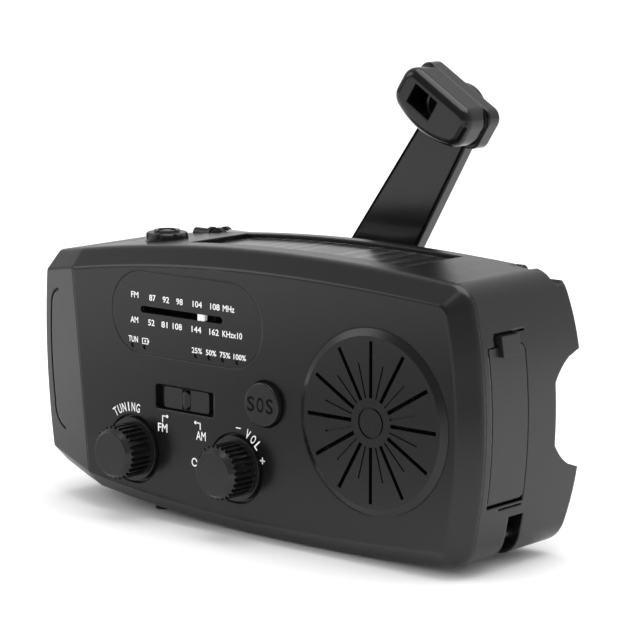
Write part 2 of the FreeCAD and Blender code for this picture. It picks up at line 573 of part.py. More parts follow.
def band_slider():
    """Switch plate with a pointed roof-shaped ridge in a shallow pit."""
    x, z, face_y = SWITCH_X, SWITCH_Z, FRONT + 0.7
    plate = rounded_y(x, z, 13.2, 4.7, 0.6, face_y, FRONT + 2.1)
    base = box(x - 10.8, x + 10.8, FRONT + 2.1, FRONT + 2.9, z - 3.4, z + 3.4)
    pit = box(x - 1.2, x + 1.2, face_y - 1, face_y + 0.6, z - 2.2, z + 2.2)
    outline = [V(x + dx, face_y - 1, z + dz) for dx, dz in
               ((-1.1, -1.2), (0, -2.1), (1.1, -1.2), (1.1, 1.2), (0, 2.1), (-1.1, 1.2))]
    low = z - 2.3
    roof = polygon([V(x - 1.2, face_y + 0.7, low), V(x - 1.2, face_y, low), V(x, face_y - 0.6, low),
                    V(x + 1.2, face_y, low), V(x + 1.2, face_y + 0.7, low)], V(0, 0, 4.6))
    ridge = polygon(outline, V(0, 3, 0)).common(roof)
    stem = box(x - 1.0, x + 1.0, FRONT + 2.8, FRONT + 5.8, z - 0.9, z + 0.9)
    return plate.cut(pit).fuse([base, ridge, stem])


def band_switch():
    body = box(SWITCH_X - 7, SWITCH_X + 7, FRONT + 4.5, FRONT + 8.5, SWITCH_Z - 3.2, SWITCH_Z + 3.2)
    slot = box(SWITCH_X - 1.2 - SLIDER_TRAVEL, SWITCH_X + 1.2 + SLIDER_TRAVEL, FRONT + 4, FRONT + 6.2,
               SWITCH_Z - 1.1, SWITCH_Z + 1.1)
    return body.cut(slot)


def sos_button():
    cap = rod_y(SOS_X, SOS_Z, SOS_R, FRONT - 1.5, FRONT + 2.6)
    rim = [e for e in cap.Edges if e.BoundBox.YMax < FRONT - 1.4]
    cap = cap.makeFillet(0.4, rim)
    flange = rod_y(SOS_X, SOS_Z, SOS_R + 1.1, FRONT + 2.2, FRONT + 3.0)
    stem = rod_y(SOS_X, SOS_Z, 1.3, FRONT + 3.0, FRONT + 6.4)
    return cap.fuse([flange, stem])


def tact_switch(x, z, y0):
    return box(x - 3, x + 3, y0, FRONT + 12.0, z - 3, z + 3)


# ---------------------------------------------------------------- top and side pieces
def lamp_button():
    """Round key with eight shallow notches and a raised ring in four arcs."""
    x, y, z0 = LAMP_BUTTON_X, LAMP_BUTTON_Y, arch_z(LAMP_BUTTON_X, 1, 0)
    top = z0 + 1.7
    base = rod_z(x, y, LAMP_BUTTON_R, z0 - 3.2, top)
    base = base.makeFillet(0.6, [e for e in base.Edges if e.BoundBox.ZMin > top - 0.01])
    notches = []
    for i in range(8):
        angle = math.radians(45 * i + 22.5)
        notches.append(rod_z(x + 5.0 * math.cos(angle), y + 5.0 * math.sin(angle), 0.7, z0 + 0.3, top + 1))
    ring = rod_z(x, y, 2.9, top - 0.1, top + 0.5).cut(rod_z(x, y, 2.1, top - 1, top + 1))
    cross = [box(x - 3, x + 3, y - 0.35, y + 0.35, top, top + 1),
             box(x - 0.35, x + 0.35, y - 3, y + 3, top, top + 1)]
    dot = rod_z(x, y, 0.9, top - 0.1, top + 0.4)
    flange = rod_z(x, y, LAMP_BUTTON_R + 1.0, z0 - 3.9, z0 - 3.1)
    return base.cut(notches).fuse([ring.cut(cross), dot, flange])


def lamp_switch():
    z0 = arch_z(LAMP_BUTTON_X, 1, 0)
    return box(LAMP_BUTTON_X - 3, LAMP_BUTTON_X + 3, LAMP_BUTTON_Y - 3, LAMP_BUTTON_Y + 3,
               z0 - 9.0, z0 - 4.8)


def solar_layer(edge_gap, top, bottom):
    """Curved sheet in the solar recess, between two depths below the arched top."""
    block = box(SOLAR_X0 + edge_gap, SOLAR_X1 - edge_gap, SOLAR_Y0 + edge_gap, SOLAR_Y1 - edge_gap, 50, 64)
    return block.common(arched(top)).cut(arched(bottom))


def port_door():
    """Curved flap whose lower edge is a round hinge bar."""
    door = door_opening(0).common(MAIN_OUTER).cut(MAIN_OUTER.translated(V(-DOOR_T, 0, 0)))
    hinge_z = DOOR_Z0 + DOOR_HINGE_R
    door = door.cut(box(50, 70, DOOR_Y0 - 1, DOOR_Y1 + 1, DOOR_Z0 - 1, hinge_z))
    door = door.fuse(rod_y(DOOR_HINGE_X, hinge_z, DOOR_HINGE_R, DOOR_Y0, DOOR_Y1).common(door_opening(0)))
    seat = box(55, 70, TAB_Y0 - 0.05, TAB_Y1 + 0.05, TAB_Z0, 60)
    return door.cut(seat.cut(MAIN_OUTER.translated(V(-TAB_SINK, 0, 0))))


def door_tab():
    """Finger tab on the door's upper edge, standing a little proud of the case."""
    block = box(55, 70, TAB_Y0, TAB_Y1, TAB_Z0, TAB_Z1)
    tab = block.common(MAIN_OUTER.translated(V(TAB_PROUD, 0, 0)))
    return tab.cut(MAIN_OUTER.translated(V(-TAB_SINK, 0, 0)))


def usb_socket(z, width, height, depth, tongue):
    y0, y1 = PORT_Y - width / 2, PORT_Y + width / 2
    x1 = PORT_WALL_X + 1.6
    z0, z1 = z - height / 2, z + height / 2
    shell = box(x1 - depth, x1, y0, y1, z0, z1)
    shell = shell.cut(box(x1 - depth + 1, x1 + 1, y0 + 0.4, y1 - 0.4, z0 + 0.4, z1 - 0.4))
    blade = box(x1 - depth, x1 - 0.8, y0 + 0.5, y0 + 0.5 + tongue, z0 + 0.9, z1 - 0.9)
    return shell.fuse(blade)


def strap_bar():
    return rod_y(STRAP_BAR_X, STRAP_BAR_Z, STRAP_BAR_R, STRAP_Y0, STRAP_Y1)


def antenna_base():
    post = rod_x(ANTENNA_Y, ANTENNA_Z, SWIVEL_POST_R, ANTENNA_PIVOT_X - 8.0, ANTENNA_PIVOT_X - 3.4)
    return post.fuse(rod_x(ANTENNA_Y, ANTENNA_Z, 1.7, ANTENNA_PIVOT_X - 3.5, ANTENNA_PIVOT_X - 2.6))


def antenna_knuckle():
    """Fork that swivels on the base and holds the first tube."""
    ball = rod_y(ANTENNA_PIVOT_X, ANTENNA_Z, 1.9, ANTENNA_Y - 1.7, ANTENNA_Y + 1.7)
    ball = ball.fuse(rod_x(ANTENNA_Y, ANTENNA_Z, 1.4, ANTENNA_PIVOT_X - 2.5, ANTENNA_PIVOT_X))
    slot = box(ANTENNA_PIVOT_X - 1.65, ANTENNA_PIVOT_X + 5, ANTENNA_Y - 0.75, ANTENNA_Y + 0.75,
               ANTENNA_Z - 4, ANTENNA_Z + 4)
    bore = rod_y(ANTENNA_PIVOT_X, ANTENNA_Z, ANTENNA_PIN_R + 0.03, ANTENNA_Y - 3, ANTENNA_Y + 3)
    return ball.cut([slot, bore])


def antenna_pin():
    return rod_y(ANTENNA_PIVOT_X, ANTENNA_Z, ANTENNA_PIN_R, ANTENNA_Y - 1.7, ANTENNA_Y + 1.7)


def antenna_section(index):
    """Tube 0 carries the hinge tongue; section 3 is the solid rod with the tip."""
    radius = ANTENNA_RADII[index]
    x0, x1 = ANTENNA_START + 0.8 * index, ANTENNA_END - 0.4 * (3 - index)
    section = rod_x(ANTENNA_Y, ANTENNA_Z, radius, x0, x1)
    if index < 3:
        inner = ANTENNA_RADII[index + 1] + 0.05
        section = section.cut(rod_x(ANTENNA_Y, ANTENNA_Z, inner, x0 + 0.8, x1 + 1))
    if index == 0:
        tongue = box(ANTENNA_PIVOT_X, x0 + 0.1, ANTENNA_Y - TONGUE_HALF, ANTENNA_Y + TONGUE_HALF,
                     ANTENNA_Z - 1.2, ANTENNA_Z + 1.2)
        eye = rod_y(ANTENNA_PIVOT_X, ANTENNA_Z, 1.25, ANTENNA_Y - TONGUE_HALF, ANTENNA_Y + TONGUE_HALF)
        bore = rod_y(ANTENNA_PIVOT_X, ANTENNA_Z, ANTENNA_PIN_R + 0.04, ANTENNA_Y - 3, ANTENNA_Y + 3)
        section = section.fuse([tongue, eye]).cut(bore)
    if index == 3:
        tip = rod_x(ANTENNA_Y, ANTENNA_Z, ANTENNA_RADII[0], x1 - 0.05, ANTENNA_TIP_X)
        rims = [e for e in tip.Edges if e.Curve.TypeId == "Part::GeomCircle"]
        section = section.fuse(tip.makeFillet(0.5, rims))
    return section


# ---------------------------------------------------------------- crank
def crank_hub():
    """Shaft, neck, and a head with two ears that carry the folding arm."""
    shaft = rod_y(HUB_X, HUB_Z, HUB_SHAFT_R, DRIVE_Y - 2.0, CHANNEL_FLOOR + 0.5)
    neck = rod_y(HUB_X, HUB_Z, NECK_R, CHANNEL_FLOOR + 0.4, HUB_TOP - 2.8)
    head = rod_y(HUB_X, HUB_Z, EAR_OUT + 0.6, HUB_TOP - 3.0, HUB_TOP)
    bridge = box(HUB_X, HUB_X + HINGE_R + 3.1, HUB_TOP - 3.0, HUB_TOP, HUB_Z - EAR_OUT, HUB_Z + EAR_OUT)
    ears = []
    for z0, z1 in ((-EAR_OUT, -EAR_IN), (EAR_IN, EAR_OUT)):
        ears.append(box(HUB_X + HINGE_R - 3.1, HUB_X + HINGE_R + 3.1, HUB_TOP - 0.5, ARM_MID,
                        HUB_Z + z0, HUB_Z + z1))
        ears.append(rod_z(HUB_X + HINGE_R, ARM_MID, 1.7, HUB_Z + z0, HUB_Z + z1))
    bore = rod_z(HUB_X + HINGE_R, ARM_MID, PIN_BORE_R, HUB_Z - 9, HUB_Z + 9)
    key = box(HUB_X - 3, HUB_X + 3, DRIVE_Y - 2.1, DRIVE_Y + GEAR_T, HUB_Z + 2.4, HUB_Z + 4)
    return at_crank_angle(shaft.cut(key).fuse([neck, head, bridge] + ears).cut(bore))


def crank_pin():
    return at_crank_angle(rod_z(HUB_X + HINGE_R, ARM_MID, PIN_R, HUB_Z - EAR_OUT, HUB_Z + EAR_OUT))


def crank_arm():
    """Tapering blade, thin grooves along its front edges, a dish in its back, and the knuckle."""
    x_near, x_far, y0, y1 = HUB_X + ARM_NEAR, HUB_X + ARM_FAR, ARM_FRONT, ARM_FRONT + ARM_T
    near_low, near_high = V(x_near, y0, HUB_Z - ARM_HALF_NEAR), V(x_near, y0, HUB_Z + ARM_HALF_NEAR)
    far_low, far_high = V(x_far, y0, HUB_Z - ARM_HALF_FAR), V(x_far, y0, HUB_Z + ARM_HALF_FAR)
    blade = prism([Part.makeLine(near_low, far_low),
                   arc(far_low, V(HUB_X + ARM_END_R, y0, HUB_Z), far_high),
                   Part.makeLine(far_high, near_high), Part.makeLine(near_high, near_low)], V(0, ARM_T, 0))
    outline = [e for e in blade.Edges if e.BoundBox.YLength < 0.01 and e.CenterOfMass.x > x_near + 1]
    blade = blade.makeFillet(0.5, outline)
    dish = box(x_near + 5, x_far - 10, y1 - 0.7, y1 + 1, HUB_Z - 4.2, HUB_Z + 4.2)
    dish = dish.makeFillet(1.8, edges_along(dish, V(0, 1, 0)))
    grooves = []
    for side in (-1, 1):
        near_z, far_z = HUB_Z + side * (ARM_HALF_NEAR - 0.35), HUB_Z + side * (ARM_HALF_FAR - 0.35)
        width = side * 0.45
        corners = [V(x_near + 1, y0 - 1, near_z), V(x_far, y0 - 1, far_z),
                   V(x_far, y0 - 1, far_z - width), V(x_near + 1, y0 - 1, near_z - width)]
        grooves.append(polygon(corners, V(0, 1.5, 0)))
    z_low, z_high = HUB_Z - EAR_IN + 0.15, HUB_Z + EAR_IN - 0.15
    knuckle = rod_z(HUB_X + HINGE_R, ARM_MID, ARM_T / 2, z_low, z_high)
    tongue = box(HUB_X + HINGE_R, x_near + 0.5, y0, y1, z_low, z_high)
    bore = rod_z(HUB_X + HINGE_R, ARM_MID, PIN_BORE_R, HUB_Z - 9, HUB_Z + 9)
    screw_hole = rod_y(HUB_X + GRIP_R, HUB_Z, GRIP_SCREW_R, y0 - 1, y1 + 1)
    return at_crank_angle(blade.cut([dish] + grooves).fuse([knuckle, tongue]).cut([bore, screw_hole]))


def grip_outline(shrink, corner_r, y0, y1):
    """Straight outer side, bowed inner side; lengths along and across the arm."""
    def point(along, across):
        return V(HUB_X + along, y0, HUB_Z + across)

    outer, inner_end, inner_mid, half = 76.0 - 0.4 * shrink, 67.0 + shrink, 63.8 + shrink, 10.9 - shrink
    edges = [
        Part.makeLine(point(outer - 0.4, half), point(outer, -half)),
        Part.makeLine(point(outer, -half), point(inner_end, -half)),
        arc(point(inner_end, -half), point(inner_mid, 0), point(inner_end - 1.0, half)),
        Part.makeLine(point(inner_end - 1.0, half), point(outer - 0.4, half)),
    ]
    solid = prism(edges, V(0, y1 - y0, 0))
    return solid.makeFillet(corner_r, edges_along(solid, V(0, 1, 0)))


def grip_block():
    """Flange, a well rounded block before it, and a finger pocket in the block."""
    back = GRIP_BACK
    flange = grip_outline(0.0, 2.6, back - GRIP_FLANGE_T, back)
    rim = [e for e in flange.Edges if e.BoundBox.YMax < back - GRIP_FLANGE_T + 0.01]
    flange = flange.makeFillet(0.4, rim)
    block = grip_outline(0.6, 3.4, GRIP_FRONT, back - GRIP_FLANGE_T + 0.5)
    block = block.makeFillet(2.0, [e for e in block.Edges if e.BoundBox.YMax < GRIP_FRONT + 0.01])
    pocket = box(HUB_X + 68.1, HUB_X + 72.9, GRIP_FRONT - 1, back - 1.6, HUB_Z - 1.1, HUB_Z + 5.9)
    boss = tube_y(HUB_X + GRIP_R, HUB_Z, GRIP_BOSS_R + 0.7, GRIP_BOSS_R, GRIP_FRONT + 3.0, back - 1.6)
    bore = rod_y(HUB_X + GRIP_R, HUB_Z, 1.66, back - 3, back + 1)
    head_space = rod_y(HUB_X + GRIP_R, HUB_Z, GRIP_BOSS_R, GRIP_FRONT + 3.0, back - 1.6)
    grip = flange.fuse(block).cut(pocket).fuse(boss).cut([bore, head_space])
    return at_crank_angle(grip)


def grip_screw():
    shank = rod_y(HUB_X + GRIP_R, HUB_Z, GRIP_SCREW_R, GRIP_BACK - 2.0, ARM_FRONT + ARM_T)
    head = rod_y(HUB_X + GRIP_R, HUB_Z, 2.6, GRIP_BACK - 3.6, GRIP_BACK - 1.7)
    drive = rod_y(HUB_X + GRIP_R, HUB_Z, 1.1, GRIP_BACK - 4, GRIP_BACK - 2.8)
    return at_crank_angle(head.fuse(shank).cut(drive))


# ---------------------------------------------------------------- gear train and insides
def spur_gear(x, z, teeth, y0, thickness, bore, phase):
    """Trapezoid teeth, a little thin so that meshed wheels clear each other."""
    pitch_r = MODULE * teeth / 2
    tip_r, root_r = pitch_r + 0.8 * MODULE, pitch_r - 1.15 * MODULE
    step = 2 * math.pi / teeth
    points = []
    for i in range(teeth):
        centre = phase + i * step
        for radius, offset in ((root_r, -0.33), (tip_r, -0.10), (tip_r, 0.10), (root_r, 0.33)):
            angle = centre + offset * step * 0.9
            points.append(V(x + radius * math.cos(angle), y0, z + radius * math.sin(angle)))
    wheel = polygon(points, V(0, thickness, 0))
    return wheel.cut(rod_y(x, z, bore, y0 - 1, y0 + thickness + 1))


def mesh_phase(driver_phase, driver_teeth, teeth, direction):
    """Phase that puts a tooth gap opposite the driver's tooth along the centre line."""
    step, driver_step = 2 * math.pi / teeth, 2 * math.pi / driver_teeth
    offset = ((direction - driver_phase) / driver_step) % 1.0
    return direction + math.pi + (offset + 0.5) * step


IDLER_DIRECTION = math.pi
DRIVE_PHASE = 0.0
IDLER_PINION_PHASE = mesh_phase(DRIVE_PHASE, DRIVE_TEETH, IDLER_PINION_TEETH, IDLER_DIRECTION)
IDLER_PHASE = 0.0
ROTOR_PHASE = mesh_phase(IDLER_PHASE, IDLER_TEETH, ROTOR_TEETH, math.radians(ROTOR_ANGLE))


def drive_gear():
    wheel = spur_gear(HUB_X, HUB_Z, DRIVE_TEETH, DRIVE_Y, GEAR_T, 2.0, DRIVE_PHASE)
    seat = rod_y(HUB_X, HUB_Z, 3.03, DRIVE_Y - 3, DRIVE_Y + 4)
    key = box(HUB_X - 4, HUB_X + 4, DRIVE_Y - 3, DRIVE_Y + 4, 2.43, 9)
    key.translate(V(0, 0, HUB_Z))
    seat = at_crank_angle(seat.cut(key))
    holes = [rod_y(HUB_X + 8.5 * math.cos(i * math.pi / 3), HUB_Z + 8.5 * math.sin(i * math.pi / 3), 2.4,
                   DRIVE_Y - 1, DRIVE_Y + 4) for i in range(6)]
    return wheel.cut([seat] + holes)


def idler_gear():
    pinion = spur_gear(IDLER_X, IDLER_Z, IDLER_PINION_TEETH, IDLER_Y + GEAR_T - 0.1, GEAR_T + 0.7,
                       1.03, IDLER_PINION_PHASE)
    wheel = spur_gear(IDLER_X, IDLER_Z, IDLER_TEETH, IDLER_Y, GEAR_T, 1.03, IDLER_PHASE)
    return wheel.fuse(pinion)


def rotor():
    pinion = spur_gear(ROTOR_X, ROTOR_Z, ROTOR_TEETH, IDLER_Y, GEAR_T, 0.9, ROTOR_PHASE)
    shaft = rod_y(ROTOR_X, ROTOR_Z, 1.0, IDLER_Y - 9.0, IDLER_Y + GEAR_T)
    magnet = rod_y(ROTOR_X, ROTOR_Z, 6.4, IDLER_Y - 7.5, IDLER_Y - 2.2)
    return pinion.fuse([shaft, magnet])


def generator_case():
    y0, y1 = IDLER_Y - 9.2, IDLER_Y - 0.6
    case = rod_y(ROTOR_X, ROTOR_Z, GENERATOR_R, y0, y1)
    room = rod_y(ROTOR_X, ROTOR_Z, 6.8, IDLER_Y - 8.0, IDLER_Y - 1.7)
    bore = rod_y(ROTOR_X, ROTOR_Z, 1.05, y0 - 1, y1 + 1)
    return case.cut([room, bore])


def idler_axle():
    return rod_y(IDLER_X, IDLER_Z, 1.0, IDLER_Y - 1.5, CHANNEL_FLOOR - WALL)


def gear_plate():
    """Plate before the gears that holds the idler's axle and the generator."""
    y0, y1 = IDLER_Y - 1.5, IDLER_Y - 0.6
    plate = box(IDLER_X - 6, ROTOR_X + 11, y0, y1, HUB_Z - 6, ROTOR_Z + 8)
    return plate.cut([rod_y(ROTOR_X, ROTOR_Z, GENERATOR_R, y0 - 1, y1 + 1),
                      rod_y(IDLER_X, IDLER_Z, 1.0, y0 - 1, y1 + 1)])


def crank_bushing():
    y0, y1 = CHANNEL_FLOOR - WALL - 1.5, CHANNEL_FLOOR - 0.2
    return tube_y(HUB_X, HUB_Z, 4.0, 3.05, y0, y1)


def main_board():
    y0 = FRONT + 12.0
    board = box(-42.0, 16.5, y0, y0 + 1.4, 6.5, 53.8)
    cuts = [rod_y(x, z, 4.4, y0 - 1, y0 + 3) for x, z in SCREWS]
    return board.cut(cuts + [rod_y(ROTOR_X, ROTOR_Z, GENERATOR_R + 0.4, y0 - 1, y0 + 3)])


def battery():
    pack = box(3.0, 48.0, FRONT + 17.0, FRONT + 25.0, 13.5, 47.5)
    return pack.makeFillet(2.4, edges_along(pack, V(1, 0, 0)))


def ferrite_rod():
    rod = rod_x(FRONT + 26.5, 9.0, 3.6, -36.0, 38.0)
    return rod.fuse(rod_x(FRONT + 26.5, 9.0, 4.4, -6.0, 14.0))


def case_screws():
    screws = []
    for x, z in SCREWS:
        head = rod_y(x, z, 2.7, BACK - 9.0, BACK - 7.4)
        shank = rod_y(x, z, 1.4, FRONT + 3.0, BACK - 8.9)
        drive = box(x - 1.6, x + 1.6, BACK - 8.2, BACK - 7, z - 0.3, z + 0.3)
        cross = box(x - 0.3, x + 0.3, BACK - 8.2, BACK - 7, z - 1.6, z + 1.6)
        screws.append(head.fuse(shank).cut([drive, cross]))
    return Part.makeCompound(screws)


def feet():
    pads = []
    for x in FEET_X:
        for y in FEET_Y:
            pads.append(rod_z(x, y, FOOT_R, 0, arch_z(x, -1, 0) + 0.8))
    return Part.makeCompound(pads)


PIECES = {
    "front_cover": front_cover(),
    "main_housing": main_housing(),
    "lamp_cap": lamp_cap(),
    "lamp_lens": lamp_lens(),
    "lamp_reflector": lamp_reflector(),
    "lamp_leds": lamp_leds(),
    "lamp_board": lamp_board(),
    "dial_panel": dial_panel(),
    "dial_pointer": dial_pointer(),
    "dial_rail": dial_rail(),
    "indicator_leds": indicator_leds(),
    "speaker_grille": speaker_grille(),
    "speaker_frame": speaker_frame(),
    "speaker_cone": speaker_cone(),
    "speaker_magnet": speaker_magnet(),
    "tuning_knob": knob(KNOBS["tuning"]),
    "volume_knob": knob(KNOBS["volume"]),
    "tuning_capacitor": rotary_part(KNOBS["tuning"], 13.0, FRONT + 7.0, FRONT + 12.0),
    "volume_control": rotary_part(KNOBS["volume"], 12.0, FRONT + 7.0, FRONT + 12.0),
    "band_slider": band_slider(),
    "band_switch": band_switch(),
    "sos_button": sos_button(),
    "sos_switch": tact_switch(SOS_X, SOS_Z, FRONT + 7.4),
    "lamp_button": lamp_button(),
    "lamp_switch": lamp_switch(),
    "solar_cell": solar_layer(0.3, SOLAR_DEPTHS[1], SOLAR_DEPTHS[2]),
    "solar_window": solar_layer(0.1, SOLAR_DEPTHS[0], SOLAR_DEPTHS[1]),
    "port_door": port_door(),
    "door_tab": door_tab(),
    "usb_socket": usb_socket(USB_Z, 5.8, 13.2, 9.0, 2.0),
    "micro_usb_socket": usb_socket(MICRO_Z, 3.0, 7.8, 6.0, 0.8),
    "strap_bar": strap_bar(),
    "antenna_base": antenna_base(),
    "antenna_knuckle": antenna_knuckle(),
    "antenna_pin": antenna_pin(),
    "antenna_tube_1": antenna_section(0),
    "antenna_tube_2": antenna_section(1),
    "antenna_tube_3": antenna_section(2),
    "antenna_rod": antenna_section(3),
    "crank_hub": crank_hub(),
    "crank_pin": crank_pin(),
    "crank_arm": crank_arm(),
    "crank_grip": grip_block(),
    "grip_screw": grip_screw(),
    "drive_gear": drive_gear(),
    "idler_gear": idler_gear(),
    "idler_axle": idler_axle(),
    "gear_plate": gear_plate(),
    "generator_rotor": rotor(),
    "generator_case": generator_case(),
    "crank_bushing": crank_bushing(),
    "main_board": main_board(),
    "battery": battery(),
    "ferrite_rod": ferrite_rod(),
    "case_screws": case_screws(),
    "feet": feet(),
}

for name, piece in PIECES.items():
    save(name, piece)
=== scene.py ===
"""Looks of the hand-crank emergency radio: finishes, printed scales, studio, camera.

Frame: metres, X to the right seen from the front, Y to the back, Z up.
"""

import math

import bpy
from mathutils import Matrix, Vector


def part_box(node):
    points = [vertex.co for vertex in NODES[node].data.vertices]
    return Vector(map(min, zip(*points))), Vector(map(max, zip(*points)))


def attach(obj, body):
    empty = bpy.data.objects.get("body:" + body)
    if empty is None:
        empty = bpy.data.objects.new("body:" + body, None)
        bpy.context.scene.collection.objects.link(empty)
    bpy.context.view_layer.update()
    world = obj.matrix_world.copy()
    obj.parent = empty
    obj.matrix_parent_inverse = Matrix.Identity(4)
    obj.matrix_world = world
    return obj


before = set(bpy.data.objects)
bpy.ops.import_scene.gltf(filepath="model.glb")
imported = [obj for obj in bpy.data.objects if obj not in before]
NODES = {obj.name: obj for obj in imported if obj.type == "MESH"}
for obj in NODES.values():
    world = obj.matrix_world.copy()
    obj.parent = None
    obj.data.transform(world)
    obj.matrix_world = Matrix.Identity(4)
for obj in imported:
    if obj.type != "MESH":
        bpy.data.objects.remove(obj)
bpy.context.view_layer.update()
MM = 0.001

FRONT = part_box("dial_panel")[0].y          # plane of the front face
PRINT_T = 0.03 * MM                        # thickness of the ink

# sockets of a mix node: factor, and the two inputs and the output for numbers and for colours
MIX_FACTOR = 0
NUMBER_A, NUMBER_B, NUMBER_OUT = 2, 3, 0
COLOUR_A, COLOUR_B, COLOUR_OUT = 6, 7, 2


# ---------------------------------------------------------------- node helpers
def new_material(name):
    material = bpy.data.materials.new(name)
    material.use_nodes = True
    tree = material.node_tree
    tree.nodes.clear()
    output = tree.nodes.new("ShaderNodeOutputMaterial")
    shader = tree.nodes.new("ShaderNodeBsdfPrincipled")
    tree.links.new(shader.outputs["BSDF"], output.inputs["Surface"])
    return material, tree, shader


def noise(tree, scale, detail=2.0, stretch=(1.0, 1.0, 1.0)):
    coordinates = tree.nodes.new("ShaderNodeTexCoord")
    mapping = tree.nodes.new("ShaderNodeMapping")
    mapping.inputs["Scale"].default_value = stretch
    texture = tree.nodes.new("ShaderNodeTexNoise")
    texture.inputs["Scale"].default_value = scale
    texture.inputs["Detail"].default_value = detail
    tree.links.new(coordinates.outputs["Object"], mapping.inputs["Vector"])
    tree.links.new(mapping.outputs["Vector"], texture.inputs["Vector"])
    return texture.outputs["Fac"]


def remap(tree, value, low, high):
    node = tree.nodes.new("ShaderNodeMapRange")
    node.inputs["To Min"].default_value = low
    node.inputs["To Max"].default_value = high
    tree.links.new(value, node.inputs["Value"])
    return node.outputs["Result"]


def grey(tone):
    return (tone, tone, tone)


def colour_mix(tree, shader, first, second, factor):
    """Base colour that goes from one colour to another."""
    mix = tree.nodes.new("ShaderNodeMix")
    mix.data_type = "RGBA"
    mix.inputs[COLOUR_A].default_value = (*first, 1.0)
    mix.inputs[COLOUR_B].default_value = (*second, 1.0)
    tree.links.new(factor, mix.inputs[MIX_FACTOR])
    tree.links.new(mix.outputs[COLOUR_OUT], shader.inputs["Base Color"])
    return mix


def tinted(tree, shader, colour, value, spread):
    """Base colour that wanders a little around a tone."""
    darker = [c * (1.0 - spread) for c in colour]
    lighter = [c * (1.0 + spread) for c in colour]
    colour_mix(tree, shader, darker, lighter, value)


def relief(tree, shader, height, depth, strength, edge):
    """Surface grain as a bump, over edges softened by a bevel."""
    bump = tree.nodes.new("ShaderNodeBump")
    bump.inputs["Strength"].default_value = strength
    bump.inputs["Distance"].default_value = depth
    tree.links.new(height, bump.inputs["Height"])
    if edge > 0:
        bevel = tree.nodes.new("ShaderNodeBevel")
        bevel.samples = 6
        bevel.inputs["Radius"].default_value = edge
        tree.links.new(bevel.outputs["Normal"], bump.inputs["Normal"])
    tree.links.new(bump.outputs["Normal"], shader.inputs["Normal"])


def uneven_roughness(tree, shader, value, low, high):
    tree.links.new(remap(tree, value, low, high), shader.inputs["Roughness"])


GRAIN_SCALE, GRAIN_DETAIL, GRAIN_DEPTH = 3200.0, 3.0, 0.02 * MM
POLISH_SCALE, POLISH_SPREAD = 260.0, 0.03


def plastic(name, tone, roughness, edge, grain, specular=0.5):
    """Moulded plastic: tone, roughness, width of its soft edges, strength of its grain."""
    material, tree, shader = new_material(name)
    tinted(tree, shader, grey(tone), noise(tree, 60.0), 0.15)
    uneven_roughness(tree, shader, noise(tree, POLISH_SCALE), roughness - POLISH_SPREAD,
                     roughness + POLISH_SPREAD)
    shader.inputs["Specular IOR Level"].default_value = specular
    relief(tree, shader, noise(tree, GRAIN_SCALE, GRAIN_DETAIL), GRAIN_DEPTH, grain, edge)
    return material


def two_tone(name, front_tone, back_tone, border):
    """Plastic that changes its tone behind a plane of constant depth."""
    material, tree, shader = new_material(name)
    coordinates = tree.nodes.new("ShaderNodeTexCoord")
    split = tree.nodes.new("ShaderNodeSeparateXYZ")
    tree.links.new(coordinates.outputs["Object"], split.inputs["Vector"])
    behind = tree.nodes.new("ShaderNodeMath")
    behind.operation = "GREATER_THAN"
    behind.inputs[1].default_value = border
    tree.links.new(split.outputs["Y"], behind.inputs[0])
    colour_mix(tree, shader, grey(front_tone), grey(back_tone), behind.outputs["Value"])
    uneven_roughness(tree, shader, noise(tree, POLISH_SCALE), 0.37, 0.43)
    relief(tree, shader, noise(tree, GRAIN_SCALE, GRAIN_DETAIL), GRAIN_DEPTH, 0.05, 0)
    return material


def metal(name, colour, roughness):
    """Bare or plated metal with faint marks drawn out along X."""
    material, tree, shader = new_material(name)
    shader.inputs["Metallic"].default_value = 1.0
    tinted(tree, shader, colour, noise(tree, 150.0), 0.06)
    marks = noise(tree, 500.0, 3.0, (1.0, 12.0, 12.0))
    uneven_roughness(tree, shader, marks, roughness * 0.8, roughness * 1.2)
    relief(tree, shader, noise(tree, 1200.0), 0.01 * MM, 0.1, 0.15 * MM)
    return material


ACRYLIC_IOR = 1.49


def clear_plastic(name, tint, roughness):
    material, tree, shader = new_material(name)
    tinted(tree, shader, tint, noise(tree, 80.0), 0.03)
    shader.inputs["Transmission Weight"].default_value = 1.0
    shader.inputs["IOR"].default_value = ACRYLIC_IOR
    uneven_roughness(tree, shader, noise(tree, 300.0), roughness * 0.8, roughness * 1.2)
    relief(tree, shader, noise(tree, 900.0), 0.005 * MM, 0.1, 0)
    return material


def solar_film(name):
    """Dark silicon with fine contact lines across the cell and wider strips along it."""
    material, tree, shader = new_material(name)
    coordinates = tree.nodes.new("ShaderNodeTexCoord")
    both = tree.nodes.new("ShaderNodeMath")
    both.operation = "MULTIPLY"
    for direction, scale, socket in (("X", 460.0, both.inputs[0]), ("Y", 150.0, both.inputs[1])):
        wave = tree.nodes.new("ShaderNodeTexWave")
        wave.bands_direction = direction
        wave.inputs["Scale"].default_value = scale
        wave.inputs["Distortion"].default_value = 0.0
        tree.links.new(coordinates.outputs["Object"], wave.inputs["Vector"])
        tree.links.new(wave.outputs["Fac"], socket)
    tinted(tree, shader, (0.034, 0.036, 0.04), both.outputs["Value"], 0.7)
    uneven_roughness(tree, shader, noise(tree, 200.0), 0.2, 0.3)
    relief(tree, shader, both.outputs["Value"], 0.03 * MM, 0.4, 0)
    return material


